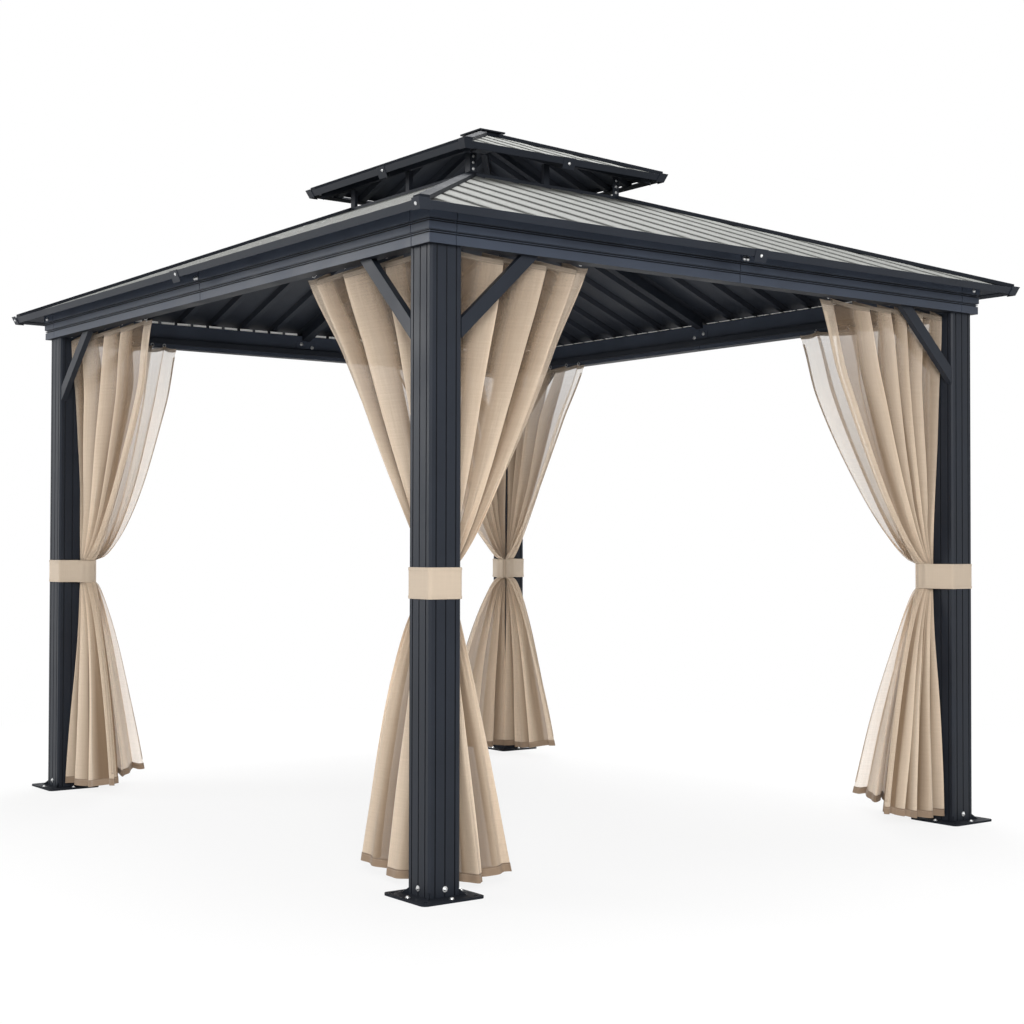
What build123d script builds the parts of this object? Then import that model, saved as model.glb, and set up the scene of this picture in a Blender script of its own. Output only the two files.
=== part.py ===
"""Garden gazebo: fluted metal posts, moulded eaves beams, a two-tier ribbed metal roof
with a vented crown, and sheer curtains tied back to the posts.

The frame stands on the ground with its origin under the centre of the roof.
Front is -Y, right is +X, and all lengths are in millimetres.
"""
from build123d import *
from math import floor, hypot
import os

# Plan and heights
roof_x = 3000.0
roof_y = 3500.0
eave_overhang = 125.0
beam_bottom = 2130.0
beam_height = 118.0
main_rise = 447.0
vent_height = 88.0
upper_rise = 226.0
crown_share = 0.27
upper_share = 0.355
hub_share = 0.1

# Fits
seat = 0.3
joint_gap = 2.0
overrun = 200.0

# Posts and their feet
post_size = 125.0
post_wall = 2.5
post_chamfer = 7.0
flute_width = 5.0
flute_depth = 3.5
flute_shares = (-0.31, 0.0, 0.31)
plate_size = 245.0
plate_thickness = 8.0
plate_corner_radius = 20.0
plate_hole_diameter = 14.0
plate_hole_inset = 25.0
gusset_length = 26.0
gusset_height = 20.0
gusset_thickness = 5.0

# Eaves beams
beam_outset = 20.0
beam_depth = 60.0
beam_wall = 2.5
band_step = 3.0
band_heights = (31.0, 24.0)
groove_width = 4.4
groove_ridge = 2.4
groove_depth = 6.0
beam_seam = 3.5
corner_leg = 105.0
corner_wall = 4.0
splice_length = 120.0
splice_height = 42.0
splice_above_rail = 4.0
splice_thickness = 3.0
brace_width = 48.0
brace_thickness = 25.0
brace_setback = 3.0
brace_drop = 266.0
brace_reach = 282.0

# Curtain rails
rail_width = 24.0
rail_height = 26.0
rail_wall = 2.0
rail_slot = 9.0
rail_rise = 18.0

# Roof framing
rafter_width = 46.0
rafter_depth = 48.0
hip_rafter_width = 40.0
ring_width = 28.0
ring_above = 14.0
ring_below = 22.0
upper_rafter_width = 28.0
upper_rafter_depth = 26.0
vent_post_leg = 34.0
vent_post_wall = 4.0
vent_mid_width = 28.0
vent_mid_depth = 20.0

# Ribbed roof sheets
sheet_thickness = 2.0
rib_pitch = 175.0
rib_height = 22.0
rib_slant = 10.0
valley_width = 28.0
upper_rib_pitch = 130.0
sheet_edge_flat = 16.0
hip_gap = 3.0

# Roof edges and covers
trim_lip = 2.0
trim_wall = 2.0
trim_flange = 24.0
clip_length = 62.0
clip_wall = 2.0
clip_drop = 16.0
cap_leg = 42.0
cap_wall = 3.0
cap_height = 36.0
cap_drop = 5.0
cover_half_width = 27.0
cover_height = 15.0
top_cap_brim = 16.0
top_cap_edge = 7.0
top_cap_rise = 18.0
top_cap_flat = 24.0

# Curtains and their ties
curtain_clear = 12.0
curtain_line = 92.0
curtain_depth = 100.0
curtain_foot_depth = 108.0
curtain_foot = 38.0
bundle_reach = 48.0
bundle_setback = 24.0
tie_height = 1025.0
tie_band = 104.0
tie_thickness = 3.0

# Sizes that follow from the ones above
half_x = roof_x / 2
half_y = roof_y / 2
post_x = half_x - eave_overhang
post_y = half_y - eave_overhang
crown_x = half_x * crown_share
crown_y = half_y * crown_share
upper_x = half_x * upper_share
upper_y = half_y * upper_share
hub_x = upper_x * hub_share
hub_y = upper_y * hub_share
sheet_top = sheet_thickness + rib_height
beam_inset = beam_depth - beam_outset
beam_face = beam_outset + 2 * band_step
flattest_fall = main_rise / max(half_x - crown_x, half_y - crown_y)
eave_height = beam_bottom + beam_height + seat - (eave_overhang - beam_face) * flattest_fall
ring_height = eave_height + main_rise
ring_top = ring_height + sheet_top + ring_above
upper_rafter_foot = ring_top + vent_height + seat
upper_eave_rise = upper_rise * (1 - crown_share / upper_share)
upper_eave_height = upper_rafter_foot + upper_rafter_depth + seat - upper_eave_rise
peak_height = upper_eave_height + upper_rise
upper_ring_height = peak_height - upper_rise * hub_share

# Each side as outward direction, direction along it, half length and distance out
up = Vector(0, 0, 1)
front = (Vector(0, -1, 0), Vector(1, 0, 0))
right = (Vector(1, 0, 0), Vector(0, 1, 0))
back = (Vector(0, 1, 0), Vector(-1, 0, 0))
left = (Vector(-1, 0, 0), Vector(0, -1, 0))
sides = {"front": front, "right": right, "back": back, "left": left}
corners = {"front_left": (-1, -1), "front_right": (1, -1), "back_left": (-1, 1), "back_right": (1, 1)}


def across(side, x_size, y_size):
    """Half length along a side and distance out to it, from half sizes in X and Y."""
    outward = sides[side][0]
    return (x_size, y_size) if outward.X == 0 else (y_size, x_size)


def side_point(side, along_size, out_size, height):
    outward, along = sides[side]
    return along * along_size + outward * out_size + up * height


def cross_plane(side, along_size, out_size, height):
    """Section plane across a side: local x outward, local y up, extruding along the side."""
    outward, along = sides[side]
    return Plane(origin=side_point(side, along_size, out_size, height), x_dir=outward, z_dir=-along)


def face_plane(side, out_size, height):
    """Plane of a side seen from outside: local x along, local y up."""
    outward, along = sides[side]
    return Plane(origin=side_point(side, 0, out_size, height), x_dir=along, z_dir=outward)


def corner_plane(corner, x_size, y_size, height):
    """Level plane at a corner, local x and y both towards the middle, with the sign of its up."""
    sign_x, sign_y = corners[corner]
    turn = sign_x * sign_y
    origin = (sign_x * x_size, sign_y * y_size, height)
    return Plane(origin=origin, x_dir=(-sign_x, 0, 0), z_dir=(0, 0, turn)), turn


def save(builder, name):
    builder.part.label = name
    export_step(builder.part, f"parts/{name}.step")


class Tier:
    """One roof tier: four planes from a rectangular eave up to a smaller rectangle."""

    def __init__(self, outer_x, outer_y, inner_x, inner_y, height, rise, pitch):
        self.outer = (outer_x, outer_y)
        self.inner = (inner_x, inner_y)
        self.height = height
        self.rise = rise
        self.pitch = pitch

    def run(self, side):
        """Half lengths at the eave and the top, with distances out to them."""
        eave_half, eave_out = across(side, *self.outer)
        top_half, top_out = across(side, *self.inner)
        return eave_half, eave_out, top_half, top_out

    def slope(self, side):
        outward = sides[side][0]
        eave_half, eave_out, top_half, top_out = self.run(side)
        return (up * self.rise - outward * (eave_out - top_out)).normalized()

    def fall(self, side):
        eave_half, eave_out, top_half, top_out = self.run(side)
        return self.rise / (eave_out - top_out)

    def eave_plane(self, side, along_size=0):
        """Section plane across the eave: local x up the slope, local y square to it."""
        along = sides[side][1]
        origin = side_point(side, along_size, self.run(side)[1], self.height)
        return Plane(origin=origin, x_dir=self.slope(side), z_dir=along)

    def sheet_plane(self, side):
        """Section plane of the ribbed sheet at the eave, extruding up the slope."""
        along = sides[side][1]
        origin = side_point(side, 0, self.run(side)[1], self.height)
        return Plane(origin=origin, x_dir=-along, z_dir=self.slope(side))

    def bay(self, side, spread, reach, gap):
        """Plan outline of one side between its hips, run past the eave by reach."""
        outward, along = sides[side]
        eave_half, eave_out, top_half, top_out = self.run(side)
        rate = (eave_half - top_half) / (eave_out - top_out)
        low = eave_half + reach * rate - gap
        points = [(-low, eave_out + reach), (low, eave_out + reach), (top_half - gap, top_out + spread)]
        points.append((gap - top_half, top_out + spread))
        return [tuple(along * a + outward * o)[:2] for a, o in points]


main_tier = Tier(half_x, half_y, crown_x, crown_y, eave_height, main_rise, rib_pitch)
upper_top_rise = upper_ring_height - upper_eave_height
upper_tier = Tier(upper_x, upper_y, hub_x, hub_y, upper_eave_height, upper_top_rise, upper_rib_pitch)


def rib_line(half_length, pitch):
    """Upper edge of a ribbed sheet: broad flat-topped ribs between narrow valleys, one at the middle."""
    base = (pitch - valley_width) / 2
    count = floor((half_length - sheet_edge_flat - base) / pitch + 0.5)
    centres = [(k + 0.5) * pitch for k in range(-count, count)]
    points = [(-half_length, 0)]
    for centre in centres:
        points += [(centre - base, 0), (centre - base + rib_slant, rib_height)]
        points += [(centre + base - rib_slant, rib_height), (centre + base, 0)]
    return points + [(half_length, 0)]


def roof_sheet(tier, side):
    eave_half, eave_out, top_half, top_out = tier.run(side)
    line = rib_line(eave_half, tier.pitch)
    upper_edge = [(a, n + sheet_thickness) for a, n in line]
    length = hypot(tier.rise, eave_out - top_out)
    with BuildPart() as sheet:
        with BuildSketch(tier.sheet_plane(side)):
            with BuildLine():
                Polyline(*upper_edge, *reversed(line), close=True)
            make_face()
        extrude(amount=length + overrun)
        with BuildSketch(Plane.XY):
            with BuildLine():
                Polyline(*tier.bay(side, seat, 0, hip_gap), close=True)
            make_face()
        extrude(amount=peak_height + overrun, mode=Mode.INTERSECT)
    return sheet


def hip_frame(tier, corner):
    """Start, plan direction and rise of a hip, with the falls of the roof to its two sides."""
    sign_x, sign_y = corners[corner]
    run_x = tier.outer[0] - tier.inner[0]
    run_y = tier.outer[1] - tier.inner[1]
    length = hypot(run_x, run_y)
    inward = Vector(-sign_x * run_x / length, -sign_y * run_y / length, 0)
    sideways = inward.cross(up)
    fall_x = tier.rise / run_x * abs(sideways.X)
    fall_y = tier.rise / run_y * abs(sideways.Y)
    x_is_right = sideways.X * sign_x > 0
    falls = (fall_y, fall_x) if x_is_right else (fall_x, fall_y)
    return inward, sideways, length, falls


def hip_bar(tier, corner, start, end, half_width, base, height):
    """Bar along a hip whose top and foot follow the two roof planes beside it."""
    inward, sideways, length, falls = hip_frame(tier, corner)
    sign_x, sign_y = corners[corner]
    eave = Vector(sign_x * tier.outer[0], sign_y * tier.outer[1], tier.height)
    travel = inward * length + up * tier.rise
    left_fall, right_fall = falls
    foot = [(-half_width, base - left_fall * half_width), (0, base)]
    foot.append((half_width, base - right_fall * half_width))
    head = [(s, n + height) for s, n in foot]
    with BuildPart() as bar:
        with BuildSketch(Plane(origin=eave + travel * start, x_dir=sideways, z_dir=-inward)):
            with BuildLine():
                Polyline(*foot, *reversed(head), close=True)
            make_face()
        extrude(amount=travel.length * (end - start), dir=travel.normalized())
    return bar


def hip_stop(tier, inner_x, inner_y, half_width):
    """Share of a hip at which a bar of this width first clears a rectangle's faces or corner."""
    run_x = tier.outer[0] - tier.inner[0]
    run_y = tier.outer[1] - tier.inner[1]
    length = hypot(run_x, run_y)
    share_x = (tier.outer[0] - inner_x + seat + half_width * run_y / length) / run_x
    share_y = (tier.outer[1] - inner_y + seat + half_width * run_x / length) / run_y
    return max(share_x, share_y)


def slope_bar(tier, side, start_out, end_out, width, base, height):
    """Straight rafter up the middle of one side, between two distances out from the centre."""
    outward, along = sides[side]
    eave_half, eave_out, top_half, top_out = tier.run(side)
    start_height = tier.height + (eave_out - start_out) * tier.fall(side)
    travel = up * (start_out - end_out) * tier.fall(side) - outward * (start_out - end_out)
    origin = side_point(side, 0, start_out, start_height)
    with BuildPart() as bar:
        with BuildSketch(Plane(origin=origin, x_dir=along, z_dir=outward)):
            with BuildLine():
                Polyline((-width / 2, base), (width / 2, base), (width / 2, base + height),
                         (-width / 2, base + height), close=True)
            make_face()
        extrude(amount=travel.length, dir=travel.normalized())
    return bar


def gather(builders):
    """One part out of pieces that stand apart from each other."""
    with BuildPart() as group:
        add([builder.part for builder in builders])
    return group


trim_low = -seat - trim_wall
trim_high = sheet_top + trim_lip


def trim_points():
    """Edge trim: a web that closes the sheet's edge and rib ends, and a flange under the sheet."""
    face = -seat
    outer = -seat - trim_wall
    return [(outer, trim_low), (trim_flange, trim_low), (trim_flange, -seat), (face, -seat),
            (face, trim_high), (outer, trim_high)]


def eave_trims(tier):
    """Trim along each eave, in two lengths that meet at the middle and stop at the hips."""
    halves = []
    for side in sides:
        eave_half = tier.run(side)[0]
        for sign in (-1, 1):
            with BuildPart() as half:
                with BuildSketch(tier.eave_plane(side, sign * joint_gap / 2)):
                    with BuildLine():
                        Polyline(*trim_points(), close=True)
                    make_face()
                extrude(amount=sign * (eave_half + overrun))
                with BuildSketch(Plane.XY):
                    with BuildLine():
                        Polyline(*tier.bay(side, 0, overrun, joint_gap / 2), close=True)
                    make_face()
                extrude(amount=peak_height + overrun, mode=Mode.INTERSECT)
            halves.append(half)
    return gather(halves)


def eave_clips():
    """Sleeve over the joint at the middle of each eave of both tiers, with a tab below the trim."""
    clips = []
    outer = -seat - trim_wall - seat - clip_wall
    inner = outer + clip_wall
    low = trim_low - seat - clip_wall
    high = trim_high + seat + clip_wall
    points = [(outer, low - clip_drop), (inner, low - clip_drop), (inner, low), (trim_flange, low),
              (trim_flange, low + clip_wall), (inner, low + clip_wall), (inner, high - clip_wall),
              (0, high - clip_wall), (0, high), (outer, high)]
    for tier in (main_tier, upper_tier):
        for side in sides:
            with BuildPart() as clip:
                with BuildSketch(tier.eave_plane(side, -clip_length / 2)):
                    with BuildLine():
                        Polyline(*points, close=True)
                    make_face()
                extrude(amount=clip_length)
            clips.append(clip)
    return gather(clips)


def cap_reach(tier, side, level):
    """Distance out to a corner cap's outer face at a level over the eave, leaning as the trim does."""
    fall = tier.fall(side)
    return across(side, *tier.outer)[1] + (trim_wall + 2 * seat + cap_wall) * hypot(1, fall) + level * fall


def corner_caps(tier):
    """Leaning angle round the meeting trims at each eave corner, under the foot of the hip cover."""
    low = trim_low - cap_drop
    caps = []
    for corner in corners:
        with BuildPart() as cap:
            for level in (low, low + cap_height):
                reach = (cap_reach(tier, "right", level), cap_reach(tier, "front", level))
                with BuildSketch(corner_plane(corner, *reach, tier.height + level)[0]):
                    with BuildLine():
                        Polyline((0, 0), (cap_leg, 0), (cap_leg, cap_wall), (cap_wall, cap_wall),
                                 (cap_wall, cap_leg), (0, cap_leg), close=True)
                    make_face()
            loft(ruled=True)
        caps.append(cap)
    return gather(caps)


def corner_post(sign_x, sign_y):
    """Square tube with chamfered corners and three flutes in each face, standing on its plate."""
    foot = (sign_x * (post_x - post_size / 2), sign_y * (post_y - post_size / 2), plate_thickness)
    inner = post_size - 2 * (flute_depth + post_wall)
    with BuildPart() as post:
        with BuildSketch(Plane(foot)) as section:
            Rectangle(post_size, post_size)
            chamfer(section.vertices(), post_chamfer)
            with PolarLocations(post_size / 2, len(sides)):
                with Locations(*[(0, share * post_size) for share in flute_shares]):
                    Rectangle(2 * flute_depth, flute_width, mode=Mode.SUBTRACT)
            Rectangle(inner, inner, mode=Mode.SUBTRACT)
        extrude(amount=beam_bottom - plate_thickness)
    return post


def base_plate(sign_x, sign_y):
    """Foot plate with a hole near each corner and a gusset from each corner of the post."""
    centre = (sign_x * (post_x - post_size / 2), sign_y * (post_y - post_size / 2), 0)
    hole_spacing = plate_size - 2 * plate_hole_inset
    gusset_start = (post_size / 2 - post_chamfer / 2) * 2 ** 0.5 + seat
    with BuildPart() as plate:
        with BuildSketch(Plane(centre)):
            RectangleRounded(plate_size, plate_size, plate_corner_radius)
            with GridLocations(hole_spacing, hole_spacing, 2, 2):
                Circle(plate_hole_diameter / 2, mode=Mode.SUBTRACT)
        extrude(amount=plate_thickness)
        for turn in range(len(corners)):
            way = Vector(1, 1, 0).normalized().rotate(Axis.Z, 90 * turn)
            foot = Vector(*centre) + way * gusset_start + up * plate_thickness
            with BuildSketch(Plane(origin=foot, x_dir=way, z_dir=way.cross(up))):
                with BuildLine():
                    Polyline((0, 0), (gusset_length, 0), (0, gusset_height), close=True)
                make_face()
            extrude(amount=gusset_thickness / 2, both=True)
    return plate


def beam_points():
    """Outer outline of the beam: three bands that step outwards, with a double groove between."""
    face = beam_outset
    points = [(-beam_inset, 0), (face, 0)]
    height = 0
    for band_height in band_heights:
        height += band_height
        for groove in range(2):
            points += [(face, height), (face - groove_depth, height)]
            points += [(face - groove_depth, height + groove_width), (face, height + groove_width)]
            height += groove_width + groove_ridge
        face += band_step
        points += [(face - band_step, height), (face, height)]
    return points + [(face, beam_height), (-beam_inset, beam_height)]


def eaves_beam(side):
    """Two lengths of hollow moulded beam that meet over the middle of a side."""
    half, out = across(side, post_x, post_y)
    end = half + beam_outset - corner_leg - beam_seam
    halves = []
    for sign in (-1, 1):
        with BuildPart() as length:
            with BuildSketch(cross_plane(side, sign * beam_seam / 2, out, beam_bottom)):
                with BuildLine():
                    Polyline(*beam_points(), close=True)
                make_face()
                with Locations((beam_outset / 2 - beam_inset / 2 - groove_depth / 2, beam_height / 2)):
                    Rectangle(beam_depth - 2 * beam_wall - groove_depth, beam_height - 2 * beam_wall,
                              mode=Mode.SUBTRACT)
            extrude(amount=-sign * (end - beam_seam / 2))
        halves.append(length)
    return gather(halves)


def beam_bands():
    """Foot, top and outward step of each band of the beam's face, grooves as bands set back."""
    bands = []
    height = 0
    face = 0
    for band_height in band_heights:
        bands.append((height, height + band_height, face))
        height += band_height
        for groove in range(2):
            bands.append((height, height + groove_width, face - groove_depth))
            bands.append((height + groove_width, height + groove_width + groove_ridge, face))
            height += groove_width + groove_ridge
        face += band_step
    bands.append((height, beam_height, face))
    return bands


def corner_bracket(sign_x, sign_y):
    """Moulded corner that sits on the post and takes the ends of two beams."""
    turn = sign_x * sign_y
    origin = Vector(sign_x * (post_x - beam_inset), sign_y * (post_y - beam_inset), beam_bottom)
    plane = Plane(origin=origin, x_dir=(sign_x, 0, 0), z_dir=(0, 0, turn))
    tail = corner_leg - beam_depth
    head = post_size - beam_inset
    with BuildPart() as bracket:
        for low, high, step in beam_bands():
            face = beam_depth + step
            with BuildSketch(plane.offset(turn * low)):
                with BuildLine():
                    Polyline((0, 0), (0, -tail), (face, -tail), (face, face), (-tail, face), (-tail, 0), close=True)
                make_face()
            extrude(amount=turn * (high - low))
        with BuildSketch(plane):
            with BuildLine():
                Polyline((0, 0), (-head, 0), (-head, -head), (0, -head), close=True)
            make_face()
        extrude(amount=turn * corner_wall)
    return bracket


def beam_splices():
    """Flat plate across the joint on the inner face of each beam."""
    plates = []
    middle = beam_bottom + rail_rise + rail_height + splice_above_rail + splice_height / 2
    for side in sides:
        half, out = across(side, post_x, post_y)
        inner = out - beam_inset
        with BuildPart() as plate:
            with BuildSketch(face_plane(side, inner, middle)):
                Rectangle(splice_length, splice_height)
            extrude(amount=-splice_thickness)
        plates.append(plate)
    return gather(plates)


def knee_braces(side):
    """Pair of braces from the posts' inner faces up to the underside of a beam."""
    half, out = across(side, post_x, post_y)
    inner = half - post_size
    length = hypot(brace_reach, brace_drop)
    post_cut = brace_width / 2 * length / brace_reach
    beam_cut = brace_width / 2 * length / brace_drop
    braces = []
    for sign in (-1, 1):
        points = [(inner, -brace_drop - post_cut), (inner - brace_reach - beam_cut, 0)]
        points += [(inner - brace_reach + beam_cut, 0), (inner, post_cut - brace_drop)]
        with BuildPart() as brace:
            with BuildSketch(face_plane(side, out - brace_setback, beam_bottom)):
                with BuildLine():
                    Polyline(*[(sign * a, z) for a, z in points], close=True)
                make_face()
            extrude(amount=-brace_thickness)
        braces.append(brace)
    return gather(braces)


def curtain_rails():
    """Slotted channel along the inner face of each beam, from post to post."""
    rails = []
    for side in sides:
        half, out = across(side, post_x, post_y)
        reach = half - post_size - seat
        height = beam_bottom + rail_rise
        inner = out - beam_inset
        centre = -rail_width / 2
        with BuildPart() as rail:
            with BuildSketch(cross_plane(side, -reach, inner, height)):
                with Locations((centre, rail_height / 2)):
                    Rectangle(rail_width, rail_height)
                    Rectangle(rail_width - 2 * rail_wall, rail_height - 2 * rail_wall, mode=Mode.SUBTRACT)
                with Locations((centre, rail_wall / 2)):
                    Rectangle(rail_slot, rail_wall, mode=Mode.SUBTRACT)
            extrude(amount=-2 * reach)
        rails.append(rail)
    return gather(rails)


def crown_ring():
    """Four rails round the opening at the top of the lower roof."""
    low = ring_height - ring_below
    rails = []
    for side in sides:
        half, out = across(side, crown_x, crown_y)
        reach = half if sides[side][0].X == 0 else half - ring_width - seat
        with BuildPart() as rail:
            with BuildSketch(cross_plane(side, -reach, out, low)):
                with Locations((-ring_width / 2, (ring_below + sheet_top + ring_above) / 2)):
                    Rectangle(ring_width, ring_below + sheet_top + ring_above)
            extrude(amount=-2 * reach)
        rails.append(rail)
    return gather(rails)


def vent_posts():
    """Angle posts at the crown's corners and a flat post at the middle of each of its sides."""
    posts = []
    side_fall = max(hip_frame(upper_tier, "front_left")[3])
    corner_height = vent_height - side_fall * upper_rafter_width / 2
    for corner in corners:
        plane, turn = corner_plane(corner, crown_x, crown_y, ring_top)
        with BuildPart() as post:
            with BuildSketch(plane):
                with BuildLine():
                    Polyline((0, 0), (vent_post_leg, 0), (vent_post_leg, vent_post_wall),
                             (vent_post_wall, vent_post_wall), (vent_post_wall, vent_post_leg),
                             (0, vent_post_leg), close=True)
                make_face()
            extrude(amount=turn * corner_height)
        posts.append(post)
    for side in sides:
        out = across(side, crown_x, crown_y)[1]
        middle = side_point(side, 0, out - vent_mid_depth / 2, ring_top)
        with BuildPart() as post:
            with BuildSketch(Plane(origin=middle, x_dir=sides[side][1], z_dir=(0, 0, 1))):
                Rectangle(vent_mid_width, vent_mid_depth)
            extrude(amount=vent_height)
        posts.append(post)
    return gather(posts)


def main_hip_rafters():
    start = hip_stop(main_tier, post_x - beam_inset, post_y - beam_inset, hip_rafter_width / 2)
    run = hypot(half_x - crown_x, half_y - crown_y)
    bars = []
    for corner in corners:
        bars.append(hip_bar(main_tier, corner, start, 1 - seat / run, hip_rafter_width / 2,
                            -seat - rafter_depth, rafter_depth))
    return gather(bars)


def main_mid_rafters():
    bars = []
    for side in sides:
        start = across(side, post_x, post_y)[1] - beam_inset - seat
        end = across(side, crown_x, crown_y)[1] + seat
        bars.append(slope_bar(main_tier, side, start, end, rafter_width, -seat - rafter_depth, rafter_depth))
    return gather(bars)


def upper_rafters():
    run = hypot(upper_x - hub_x, upper_y - hub_y)
    room = trim_flange + joint_gap
    start = hip_stop(upper_tier, upper_x - room, upper_y - room, upper_rafter_width / 2)
    bars = []
    for corner in corners:
        bars.append(hip_bar(upper_tier, corner, start, 1 - seat / run, upper_rafter_width / 2,
                            -seat - upper_rafter_depth, upper_rafter_depth))
    for side in sides:
        begin = across(side, upper_x, upper_y)[1] - room
        end = across(side, hub_x, hub_y)[1] + seat
        bars.append(slope_bar(upper_tier, side, begin, end, upper_rafter_width,
                              -seat - upper_rafter_depth, upper_rafter_depth))
    return gather(bars)


def cover_base(tier):
    """Height of a hip cover's foot over the roof planes, clear of the steeper side's ribs."""
    steepest = max(tier.fall(side) for side in sides)
    return sheet_top * hypot(1, steepest) + seat


def hip_covers(tier):
    """Folded cap along each hip, lying on the sheets' ribs and cut off along the eaves."""
    run = hypot(tier.outer[0] - tier.inner[0], tier.outer[1] - tier.inner[1])
    bars = []
    for corner in corners:
        with BuildPart() as cover:
            bar = hip_bar(tier, corner, -overrun / run, 1 - seat / run, cover_half_width, cover_base(tier),
                          cover_height)
            add(bar.part)
            with BuildSketch(Plane.XY):
                Rectangle(2 * tier.outer[0], 2 * tier.outer[1])
            extrude(amount=peak_height + overrun, mode=Mode.INTERSECT)
        bars.append(cover)
    return gather(bars)


def top_cap():
    """Square cap over the peak: a neck that takes the upper roof's ends, and a low pyramid brim."""
    low = upper_ring_height - upper_rafter_depth
    brim_low = upper_ring_height + cover_base(upper_tier) + cover_height + seat
    with BuildPart() as cap:
        with BuildSketch(Plane.XY.offset(low)):
            Rectangle(2 * hub_x, 2 * hub_y)
        extrude(amount=brim_low - low)
        with BuildSketch(Plane.XY.offset(brim_low)):
            Rectangle(2 * (hub_x + top_cap_brim), 2 * (hub_y + top_cap_brim))
        extrude(amount=top_cap_edge)
        with BuildSketch(Plane.XY.offset(brim_low + top_cap_edge)):
            Rectangle(2 * (hub_x + top_cap_brim), 2 * (hub_y + top_cap_brim))
        with BuildSketch(Plane.XY.offset(brim_low + top_cap_edge + top_cap_rise)):
            Rectangle(top_cap_flat, top_cap_flat)
        loft(ruled=True)
    return cap


# Width of each curtain at its head and foot, as shares of the clear span between the posts,
# and how its free edge bows from the tie to the head, by the side it hangs on and its post
curtain_shares = {
    ("front", "front_left"): (0.229, 0.102, 0.75),
    ("front", "front_right"): (0.288, 0.192, 0.8),
    ("left", "front_left"): (0.256, 0.14, 0.9),
    ("left", "back_left"): (0.287, 0.143, 0.75),
    ("right", "front_right"): (0.262, 0.143, 0.66),
    ("right", "back_right"): (0.204, 0.13, 0.8),
    ("back", "back_left"): (0.194, 0.132, 0.55),
    ("back", "back_right"): (0.28, 0.16, 0.75),
}
head_station_shares = (0, 0.08, 0.22, 0.42, 0.7, 1)
foot_station_shares = (1, 0.62, 0.28, 0)


def curtain(side, corner):
    """Gathered curtain: wide at the rail, drawn in at the tie and flared again at the foot."""
    outward, along = sides[side]
    half, out = across(side, post_x, post_y)
    sign_x, sign_y = corners[corner]
    end = 1 if along.X * sign_x + along.Y * sign_y > 0 else -1
    head_share, foot_share, bow_share = curtain_shares[(side, corner)]
    span = 2 * (half - post_size)
    head = beam_bottom + rail_rise - seat
    neck_low = tie_height - tie_band / 2
    neck_high = tie_height + tie_band / 2
    middle = curtain_line - post_size

    def section(opening, width, depth):
        """Four corners as distances from the post and inward of its inner face, by how open the cloth is."""
        near = seat + (curtain_clear - seat) * opening
        far = bundle_reach + (curtain_clear + width - bundle_reach) * opening ** bow_share
        outer = -bundle_setback + (middle - depth / 2 + bundle_setback) * opening
        inner_near = (middle + depth / 2) * opening
        inner_far = bundle_reach - seat + (middle + depth / 2 - bundle_reach + seat) * opening
        return [(near, outer), (far, outer), (far, inner_far), (near, inner_near)]

    stations = []
    for share in foot_station_shares:
        height = neck_low - (neck_low - curtain_foot) * share
        stations.append((height, section(share, span * foot_share, curtain_foot_depth)))
    for share in head_station_shares:
        height = neck_high + (head - neck_high) * share
        stations.append((height, section(share, span * head_share, curtain_depth)))
    with BuildPart() as cloth:
        for height, points in stations:
            origin = side_point(side, end * (half - post_size), out - post_size, height)
            with BuildSketch(Plane(origin=origin, x_dir=along * -end, z_dir=up)):
                with BuildLine():
                    Polyline(*[(a, -end * m) for a, m in points], close=True)
                make_face()
        loft(ruled=True)
    return cloth


def curtain_tie(corner):
    """Band round a post and the two gathered curtains at its inner corner."""
    plane, turn = corner_plane(corner, post_x, post_y, tie_height - tie_band / 2)
    near = post_size - bundle_setback
    far = post_size + bundle_reach
    points = [(0, 0), (post_size, 0), (far, near), (far, far), (near, far), (0, post_size)]
    with BuildPart() as band:
        for clearance, mode in ((seat + tie_thickness, Mode.ADD), (seat, Mode.SUBTRACT)):
            with BuildSketch(plane):
                with BuildLine():
                    Polyline(*points, close=True)
                make_face()
                offset(amount=clearance, kind=Kind.INTERSECTION)
            extrude(amount=turn * tie_band, mode=mode)
    return band


os.makedirs("parts", exist_ok=True)

for corner, signs in corners.items():
    save(base_plate(*signs), f"base_plate_{corner}")
    save(corner_post(*signs), f"post_{corner}")
save(gather([corner_bracket(*signs) for signs in corners.values()]), "beam_corners")

for side in sides:
    save(eaves_beam(side), f"beam_{side}")
    save(knee_braces(side), f"knee_braces_{side}")
    save(roof_sheet(main_tier, side), f"roof_panel_{side}")
save(beam_splices(), "beam_splices")
save(curtain_rails(), "curtain_rails")

save(main_hip_rafters(), "hip_rafters")
save(main_mid_rafters(), "mid_rafters")
save(hip_covers(main_tier), "hip_covers")
save(eave_trims(main_tier), "eave_trims")
save(eave_clips(), "eave_clips")
save(corner_caps(main_tier), "eave_corner_caps")

save(crown_ring(), "crown_ring")
save(vent_posts(), "vent_posts")
save(upper_rafters(), "upper_rafters")
save(gather([roof_sheet(upper_tier, side) for side in sides]), "upper_roof_panels")
save(hip_covers(upper_tier), "upper_hip_covers")
save(eave_trims(upper_tier), "upper_eave_trims")
save(corner_caps(upper_tier), "upper_corner_caps")
save(top_cap(), "top_cap")

for side, corner in curtain_shares:
    save(curtain(side, corner), f"curtain_{side}_{corner}")
save(gather([curtain_tie(corner) for corner in corners]), "curtain_ties")
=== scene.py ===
import bpy
import math
import numpy as np
from mathutils import Matrix, Vector


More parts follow.
